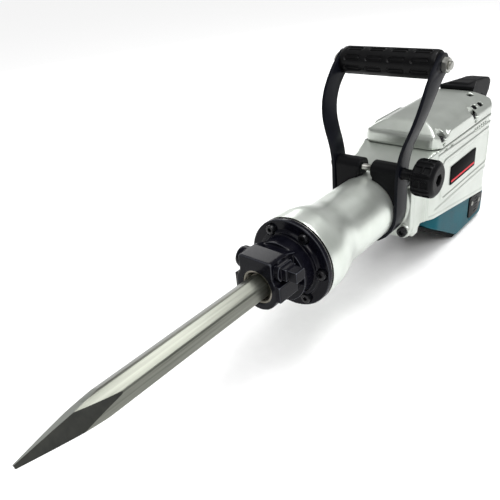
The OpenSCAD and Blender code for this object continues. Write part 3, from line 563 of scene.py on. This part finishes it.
def housing_plan(half, front, back, radius):
    """Plan outline of the housing: narrow in front, flared to its full width behind."""
    right = [(240, -front), (262, -front), (300, -half), (back, -half)]
    left = [(x, -y) for x, y in right[::-1]]
    return rounded(right + left, [0, 20, 30, radius, radius, 30, 20, 0], 8)


def case_band(points, s, depth):
    """A strip raised from the side of the crank case and trimmed to the housing's plan."""
    edge = CASE_HALF + depth
    strip = side_prism(points, s, 56, edge)
    return common(strip, prism(housing_plan(edge, 59, CASE_BACK + depth, 25), "z", -140, 80))


def crank_case():
    """Crank case casting with its ribs, label frames, slits and bolt bosses."""
    side = [(240, -58), (258, -58), (262, low_edge(262)), (CASE_BACK, low_edge(CASE_BACK)),
            (CASE_BACK, 65), (296, 65), (264, 58), (240, 51)]
    case = prism(side, "y", -67, 67, "crank_case_shell")
    common(case, prism(housing_plan(CASE_HALF, 58, CASE_BACK, 24), "z", -140, 70))
    soften(case, 1.6, 6)
    for s in (-1, 1):
        # lips above and below the joint line, following the slope of the ribs
        add(case, case_band(rounded([(300, 52), (533, 46.5), (533, 51.5), (300, 58)], 1.5, 3), s, 1.6))
        add(case, case_band(rounded([(300, 61.0), (533, 60.5), (533, 65), (300, 65)], 1.0, 3), s, 1.4))
        # frame round the label, the rib below it and the one along the lower edge
        ring = case_band(rounded(rect(318, 522, -29, 42.5), 13), s, 1.5)
        cut(ring, side_prism(rounded(rect(323, 517, -24, 37.5), 8), s, 40, 80))
        add(case, ring)
        mid_rib = rounded([(300, -39), (530, -38), (530, -33), (300, -34.5)], 2.0, 3)
        add(case, case_band(mid_rib, s, 1.4))
        low_rib = [(x, low_edge(x) + lift) for x, lift in ((284, 1), (534, 1), (534, 7), (284, 7))]
        add(case, case_band(rounded(low_rib, 1.5, 3), s, 1.3))
        # slits under the cover's rear bolt and two slots on the parting line
        for i in range(6):
            x = 446 + 9.5 * i
            cut(case, side_prism(rounded(rect(x, x + 4.2, 52.6, 58.2), 0.8, 2), s, 61, 75))
        for x in (322, 344):
            slot = rounded([(x, 58.6), (x + 11, 58.2), (x + 11, 61.0), (x, 61.4)], 0.8, 2)
            cut(case, side_prism(slot, s, 62, 75))
        # bosses of the lower bolts
        add(case, lathe("boss", [(238, 12.5), (262, 12.5), (282, 4)], "x", (s * 46, -44), 40))
    # upright ribs on the front corners
    for s in (-1, 1):
        for x, width in ((270, 3), (280, 2.4)):
            reach = 62.3 + (x - 270) * 0.13
            add(case, side_block((x, x + width), s, 52, reach, (low_edge(x) + 2, 46)))
    soften(case, 1.15, 3)
    place(case, "hammer", SILVER, ["crank_case"])


def label_plates():
    """Plain black plate with a red band on both sides of the housing."""
    outline = rounded(rect(354, 458, -12, 21), 2.0, 4)
    stripe = rounded(rect(357, 455, -7.6, -4.2), 0.8, 3)
    plates = [bevel(side_prism(outline, s, 64.4, 66.6), 0.3, 2) for s in (-1, 1)]
    bands = [side_prism(stripe, s, 66.2, 66.75) for s in (-1, 1)]
    place(join("label_plate", plates), "hammer", LABEL_BLACK, ["side_labels"])
    place(join("label_band", bands), "hammer", LABEL_RED, slot="side_labels")


COVER_BOLTS = (318, 445)


def top_cover():
    """Top cover casting: plateau with soft shoulders, bolt pockets, vents and side cushions."""
    side = rounded([(296, 64), (296, 86), (322, 103.6), (510, 103.6), (532, 88), (CASE_BACK, 64)],
                   [0, 9, 22, 16, 8, 0], 8)
    cover = prism(side, "y", -70, 70, "top_cover_shell")
    right = [(-66, 63), (-65.5, 79), (-62, 84), (-50, 93.5), (-40, 99), (-30, 103)]
    front = right + [(0, 104.6)] + [(-y, z) for y, z in right[::-1]]
    common(cover, prism(front, "x", 280, 540))
    plan = rounded([(296, -54), (310, -66), (CASE_BACK, -66), (CASE_BACK, 66), (310, 66), (296, 54)],
                   [10, 14, 24, 24, 14, 10], 8)
    common(cover, prism(plan, "z", 65.4, 110))
    soften(cover, 1.6, 12)
    for s in (-1, 1):
        # long cushion between the two bolt pockets
        cushion = side_prism(rounded(rect(333, 431, 67, 88), 9, 5), s, 40, 66.0)
        sides = rounded([(329, 66.0), (435, 66.0), (431, 50), (333, 50)], 4, 4)
        common(cushion, prism([(x, s * y) for x, y in sides], "z", 60, 90))
        add(cover, cushion)
        # lip along the joint
        lip = side_prism(rounded(rect(304, CASE_BACK, 65.4, 70), 1.5, 3), s, 50, 67)
        common(lip, prism(plan, "z", 60, 75))
        add(cover, lip)
    soften(cover, 1.3, 4)
    for s in (-1, 1):
        for x in COVER_BOLTS:
            cut(cover, lathe("pocket", [(76, 8.6), (120, 9.6)], "z", (x, s * 57), 48))
            mouth = [(x - 8.2, s * 57), (x + 8.2, s * 57), (x + 9.6, s * 80), (x - 9.6, s * 80)]
            cut(cover, prism(rounded(mouth, 0.5, 1), "z", 76, 120))
            cut(cover, side_block((x - 5, x + 5), s, 61, 75, (69.6, 73)))
        for x, y in ((455, 49.5), (478, 50.5)):
            vent = rounded(rect(x, x + 14, s * y, s * (y + 8)), 1.2, 3)
            cut(cover, prism(vent, "z", 80, 110))
        inner_vent = [(484, s * 27), (499, s * 29), (500, s * 38.5), (485, s * 36.5)]
        cut(cover, prism(rounded(inner_vent, 1.2, 3), "z", 90, 110))
    soften(cover, 1.0, 5)
    place(cover, "hammer", SILVER, ["top_cover"])


def cover_bolts():
    heads = []
    for s in (-1, 1):
        for x in COVER_BOLTS:
            heads.append(socket_screw("cover_bolt", x, s * 58, 76, "z", 1, 5.5, 6, 3.0))
            washer = [(75.6, 6.6), (76.7, 6.6), (76.9, 6.2)]
            heads.append(lathe("washer", washer, "z", (x, s * 58), 40))
    place(join("cover_bolt_heads", heads), "hammer", BLACK_SCREW, ["top_cover_bolts"])


def vent_painted_shade():
    """Dark sheets behind the slits and vents, painted shade so that they read as open."""
    slope = [(48, 78), (59.5, 78), (59.5, 83.6), (48, 92.2)]
    shelf = [(26, 90), (40, 90), (40, 96.6), (26, 100.6)]
    sheets = []
    for s in (-1, 1):
        sheets.append(side_block((440, 506), s, 60, 64.2, (50, 59.5)))
        sheets.append(prism([(s * y, z) for y, z in slope], "x", 453.5, 493.5))
        sheets.append(prism([(s * y, z) for y, z in shelf], "x", 482, 502))
    # The sheets take the dark foot rubber as painted shade behind the openings
    place(join("vent_painted_shade_sheets", sheets), "hammer", DARK_RUBBER, slot="fan")


# ---------------------------------------------------------------- tail

def tail():
    """Teal tail cover with rounded sides, and the rubber foot under it."""
    side = [(262, low_edge(262)), (262, -49), (425, -140), (535, -140), (560, -126), (564, -112),
            (548, low_edge(540) + 0.5), (536, low_edge(536) + 0.5)]
    shell = prism(rounded(side, [0, 5, 12, 12, 10, 12, 4, 0], 5), "y", -61, 61, "tail_shell")
    right = [(258, -38), (330, -60), (566, -60)]
    plan = rounded(right + [(x, -y) for x, y in right[::-1]], [10, 40, 34, 34, 40, 10], 8)
    common(shell, prism(plan, "z", -141, 0))
    soften(shell, 1.8, 14)
    seat = rounded([(469, -130.5), (520, -130.5), (537, -107), (532, -90), (469, -81)],
                   [10, 12, 10, 6, 8], 5)
    for s in (-1, 1):
        cut(shell, side_prism(seat, s, 58.2, 70))
    soften(shell, 1.3, 3)
    place(shell, "hammer", TEAL, ["tail_cover"])

    foot = soften(from_cad("tail_foot", "tail_foot_pad"), 1.4, 5)
    place(foot, "hammer", DARK_RUBBER, ["tail_foot"])


def brush_covers():
    """A slotted plate with two screws on each side of the tail cover."""
    outline = rounded([(471.5, -128), (518, -128), (534.5, -106), (530.5, low_edge(531) - 4.5),
                       (471.5, low_edge(471) - 4.5)], [9, 10, 9, 5, 8], 5)
    screws = []
    for s in (-1, 1):
        plate = side_prism(outline, s, 57.8, 61.3, "brush_plate")
        bevel(plate, 0.7, 3)
        for i in range(5):
            z = -121 + 6.5 * i
            cut(plate, side_prism(rounded(rect(494, 509, z, z + 2), 0.9, 3), s, 60.6, 63))
        place(plate, "hammer", BLACK_PLASTIC, ["brush_cover_left" if s > 0 else "brush_cover_right"])
        for x, z in ((483, -99), (517, -104)):
            head = lathe("screw", [(s * 61.2, 4), (s * 62.2, 4), (s * 62.8, 3.2)], "y", (x, z), 32)
            cut(head, side_block((x - 3.4, x + 3.4), s, 62, 64, (z - 0.5, z + 0.5)))
            screws.append(head)
    place(join("brush_cover_screw_heads", screws), "hammer", ZINC, ["brush_cover_screws"])


# ---------------------------------------------------------------- rear handle

def rear_handle():
    """Rear handle moulding with rounded edges, the ribbed cord gland and the trigger."""
    body = from_cad("rear_handle", "rear_handle_moulding")
    skirt = rounded([(512, -32.5), (512, 32.5), (562, 14), (562, -14)], [4, 4, 0, 0], 4)
    add(body, prism(skirt, "z", 97, 107))
    soften(body, 1.15, 12)
    place(body, "hammer", HANDLE_BLACK, ["rear_handle"])

    gland = [(-88, 5), (-88, 7.4), (-86.6, 8.0)]
    for i in range(6):
        z = -85 + 3.2 * i
        gland += [(z, 8.7), (z + 1.7, 8.7), (z + 2.0, 7.6), (z + 2.9, 7.6)]
    gland += [(-65.4, 8.8), (-38, 8.8), (-38, 5)]
    sleeve = lathe("cord_gland_sleeve", gland, "z", (614, 0), 64, closed=True)
    place(sleeve, "hammer", DARK_RUBBER, ["cord_gland"])

    trigger = soften(from_cad("trigger", "trigger_lever"), 0.5, 5)
    place(trigger, "trigger", BLACK_PLASTIC, ["trigger"])


def coil(name, start, end, radius, wire, turns):
    """A helical spring between two points."""
    per_turn = 24
    steps = per_turn * turns
    a, b = Vector(start), Vector(end)
    along = (b - a).normalized()
    side = along.orthogonal().normalized()
    other = along.cross(side)
    path = []
    for i in range(steps + 1):
        t = 2 * math.pi * i / per_turn
        path.append(a + (b - a) * i / steps + (side * math.cos(t) + other * math.sin(t)) * radius)
    section = [math.pi * k / 4 for k in range(8)]
    rings = []
    for i, p in enumerate(path):
        tangent = (path[min(i + 1, steps)] - path[max(i - 1, 0)]).normalized()
        u = tangent.cross(along).normalized()
        v = tangent.cross(u)
        rings.append([p + (u * math.cos(t) + v * math.sin(t)) * wire for t in section])
    return loft(name, rings)


def springs():
    spring = coil("trigger_coil", (604.8, 0, 26), (613.7, 0, 26), 1.7, 0.4, 4)
    place(spring, "hammer", ZINC, ["trigger_spring"])
    pair = [coil("brush_coil", (483, s * 33.8, -99), (483, s * 42.6, -99), 2.9, 0.5, 5)
            for s in (-1, 1)]
    place(join("brush_coils", pair), "hammer", ZINC, ["brush_springs"])


# ---------------------------------------------------------------- side handle

STRAP_X, BOLT_Z = 204, 62
GRIP_X, GRIP_Z = 260, 203


def strap():
    """Flat bar bent round the barrel: rounded creases, swept back to the side grip's axis."""
    inner, outer, near, far, high, low = 50.3, 55.3, 74.5, 79.5, 149.6, 81.6
    right = [(near, 240), (near, high), (inner, low), (inner, 0)]
    right_out = [(outer, 0), (outer, low), (far, high), (far, 240)]
    turns = [math.radians(-15 * i) for i in range(1, 12)]
    line = right + [(inner * math.cos(a), inner * math.sin(a)) for a in turns]
    line += [(-y, z) for y, z in right[::-1]]
    line_out = [(-y, z) for y, z in right_out[::-1]]
    line_out += [(outer * math.cos(a), outer * math.sin(a)) for a in turns[::-1]] + right_out
    radii = [0, 155, 160, 0] + [0] * 11 + [0, 160, 155, 0]
    radii_out = [0, 160, 155, 0] + [0] * 11 + [0, 155, 160, 0]
    bent = prism(rounded(line + line_out, radii + radii_out, 10), "x", 170, 300, "handle_strap_bar")

    half, mid_z, steps = 16.0, 100.0, 12
    sweep = ((GRIP_X - STRAP_X) ** 2 + (GRIP_Z - mid_z) ** 2) / (2 * (GRIP_X - STRAP_X))
    angle = math.asin((GRIP_Z - mid_z) / sweep)

    def arc(r, order):
        """One edge of the swept bar, at radius r about the centre of its sweep."""
        turned = [math.pi - angle * i / steps for i in order]
        return [(STRAP_X + sweep + r * math.cos(a), mid_z + r * math.sin(a)) for a in turned]

    eye = [-angle + math.pi * i / 16 for i in range(1, 16)]
    side = [(STRAP_X - half, -70), (STRAP_X + half, -70)]
    side += arc(sweep - half, range(steps + 1))
    side += [(GRIP_X + half * math.cos(a), GRIP_Z + half * math.sin(a)) for a in eye]
    side += arc(sweep + half, range(steps, -1, -1))
    common(bent, prism(side, "y", -90, 90))
    cut(bent, lathe("bolt_hole", [(-90, 5.4), (90, 5.4)], "y", (STRAP_X, BOLT_Z), 32),
        lathe("rod_hole", [(-90, 6.4), (90, 6.4)], "y", (GRIP_X, GRIP_Z), 32))
    bevel(bent, 0.9, 3, 40)
    place(bent, "side_handle", STRAP, ["handle_strap"])


def clamp():
    """Clamp blocks, the bolt with its nut, the spacer and the knob."""
    bolt_axis = (STRAP_X, BOLT_Z)
    blocks = from_cad("clamp_blocks", "clamp_block_castings")
    crown = rounded(rect(STRAP_X - 14, STRAP_X + 14, 0, BOLT_Z + 13), [0, 0, 12, 12], 8)
    common(blocks, prism(crown, "y", -60, 60))
    soften(blocks, 0.7, 8)
    place(blocks, "side_handle", BLACK_PLASTIC, ["clamp_blocks"])

    thread = [(-78, 4.9), (-12.4, 4.9)]
    for i in range(16):
        y = -12.0 + 1.5 * i
        thread += [(y, 4.35), (y + 0.75, 5.0)]
    thread += [(12.4, 4.9), (55.6, 4.9)]
    rod = lathe("clamp_rod", thread, "y", bolt_axis, 48)
    nut = lathe("nut_blank", [(55.3, 8.2), (56.1, 9), (61.3, 9), (62.3, 7.8)], "y", bolt_axis, 48)
    common(nut, prism(circle(*bolt_axis, 9, 6), "y", 50, 70))
    place(join("clamp_bolt_and_nut", [rod, nut]), "side_handle", ZINC, ["clamp_bolt"], sharp=25)

    tube = [(-75.6, 5.1), (-75.6, 7.4), (-75, 8), (-58.5, 8), (-56.5, 9.2), (-55.4, 9.2), (-55.4, 5.1)]
    spacer = lathe("clamp_spacer_tube", tube, "y", bolt_axis, 64)
    place(spacer, "side_handle", BLACK_PLASTIC, ["clamp_spacer"])

    rim = [(-108.4, 19), (-107.6, 21.5), (-104.5, 25.6), (-101, 27), (-82, 27), (-78, 26), (-76, 22)]
    knob = lathe("knob_blank", rim, "y", bolt_axis, 96)
    flute = rounded([(25.0, -1.9), (31, -2.6), (31, 2.6), (25.0, 1.9)], 0.8, 2)
    window = [(23.9, -4.6), (31, -5.4), (31, 5.4), (23.9, 4.6)]

    def cut_knob(points, low, high, turn):
        """Cuts a polygon of (outward, sideways) out of the knob, turned about its axis."""
        piece = prism(points, "y", low, high)
        to_knob = Matrix.Translation((STRAP_X, 0, BOLT_Z))
        piece.data.transform(to_knob @ Matrix.Rotation(-turn, 4, "Y"))
        cut(knob, piece)

    for i in range(8):
        cut_knob(flute, -112, -70, 2 * math.pi * (i + 0.5) / 8)
        for low, high in ((-103.0, -93.2), (-90.8, -80.5)):
            cut_knob(window, low, high, 2 * math.pi * i / 8)
    cut(knob, prism(circle(*bolt_axis, 9, 6), "y", -118, -99.5))
    cut(knob, lathe("bore", [(-93.4, 5.1), (-70, 5.1)], "y", bolt_axis, 48))
    soften(knob, 0.6, 3)
    place(knob, "clamp_knob", BLACK_PLASTIC, ["clamp_knob"])


def smooth_step(t):
    t = max(0.0, min(1.0, t))
    return t * t * (3 - 2 * t)


def side_grip():
    """Rubber grip with rows of oval recesses, each with a raised bar in it."""
    half, radius, bore = 74.4, 20.0, 6.2
    rows, cells, around, along = 8, 4, 384, 300
    pitch = 2 * half * 0.94 / cells
    reach, breadth = 13.4, 4.3          # half sizes of a recess
    bar_reach, bar_breadth = 9.4, 1.2   # half sizes of the bar in it
    outside = 99

    rings = []
    for i in range(along + 1):
        y = -half + 2 * half * i / along
        edge = half - abs(y)
        round_end = 1 - math.sqrt(max(0, 1 - (1 - min(edge / 2.2, 1)) ** 2))
        base = radius - 0.9 * (1 - smooth_step(edge / 7)) - 2.2 * round_end
        cell = (y + 2 * pitch) / pitch
        local_y = (cell - math.floor(cell) - 0.5) * pitch if 0 <= cell < cells else outside
        ring = []
        for j in range(around):
            a = 2 * math.pi * j / around
            arc = (a / (2 * math.pi) * rows) % 1 - 0.5
            local_a = arc * 2 * math.pi * radius / rows
            recess = math.hypot(max(abs(local_y) - (reach - breadth), 0), local_a) - breadth
            bar = math.hypot(max(abs(local_y) - bar_reach, 0), local_a) - bar_breadth
            depth = 2.1 * smooth_step(0.5 - recess / 1.5) - 1.6 * smooth_step(0.5 - bar / 1.3)
            r = base - max(depth, 0)
            ring.append((GRIP_X + r * math.cos(a), y, GRIP_Z + r * math.sin(a)))
        rings.append(ring)
    rings += [[at("y", y, p) for p in circle(GRIP_X, GRIP_Z, bore, around)] for y in (half, -half)]
    grip = loft("side_grip_sleeve", rings, closed=True)
    place(grip, "side_handle", GRIP_RUBBER, ["side_grip"], sharp=60)


def grip_rod():
    """Rod through the side grip, with a thread and a hexagon nut at each end."""
    grip_axis = (GRIP_X, GRIP_Z)
    rod = [(0, 5.9), (74, 5.9), (79.5, 5.9), (87.4, 5.9)]
    for i in range(3):
        y = 87.6 + 1.2 * i
        rod += [(y, 5.3), (y + 0.6, 5.95)]
    rod += [(91.3, 5.0)]
    nut_profile = [(79.6, 9.4), (80.4, 10.5), (86.4, 10.5), (87.4, 9.2)]
    parts = []
    for s in (-1, 1):
        parts.append(lathe("rod", [(s * t, r) for t, r in rod], "y", grip_axis, 48))
        nut = lathe("nut", [(s * t, r) for t, r in nut_profile], "y", grip_axis, 48)
        common(nut, side_prism(circle(*grip_axis, 10.5, 6, math.pi / 6), s, 70, 95))
        parts.append(nut)
    place(join("grip_rod_and_nuts", parts), "side_handle", ZINC, ["grip_rod"], sharp=25)


for make in (chisel, nose, front_screws, stop_lever, barrel, case_bolts, crank_case, label_plates,
             top_cover, cover_bolts, vent_painted_shade, tail, brush_covers, rear_handle, springs, strap,
             clamp, side_grip, grip_rod):
    make()

CAD_FINISH = {
    "tool_holder": TURNED, "spacer_ring": ZINC, "front_gasket": DARK_RUBBER,
    "cylinder_liner": DULL_STEEL, "damper_ring": DARK_RUBBER, "damper_holder": DULL_STEEL,
    "impact_bolt": TURNED, "striker": TURNED, "piston": ZINC, "piston_ring": DARK_RUBBER,
    "piston_pin": TURNED, "connecting_rod": DULL_STEEL, "crank_pin": TURNED, "crank_shaft": TURNED,
    "crank_bearings": ZINC, "final_gear": DULL_STEEL, "intermediate_gear": DULL_STEEL,
    "gear_bearings": ZINC, "armature": DULL_STEEL, "commutator": COPPER, "fan": BLACK_PLASTIC,
    "armature_bearings": ZINC, "stator": DULL_STEEL, "field_coils": COPPER,
    "carbon_brushes": DARK_RUBBER, "brush_holders": BLACK_PLASTIC, "bearing_plate": DULL_STEEL,
    "tail_screws": ZINC, "handle_cover": BLACK_PLASTIC, "handle_screws": ZINC, "trigger_pin": ZINC,
    "switch": BLACK_PLASTIC,
}
for node, finish in CAD_FINISH.items():
    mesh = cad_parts[node].data
    mesh.materials.clear()
    mesh.materials.append(finish)
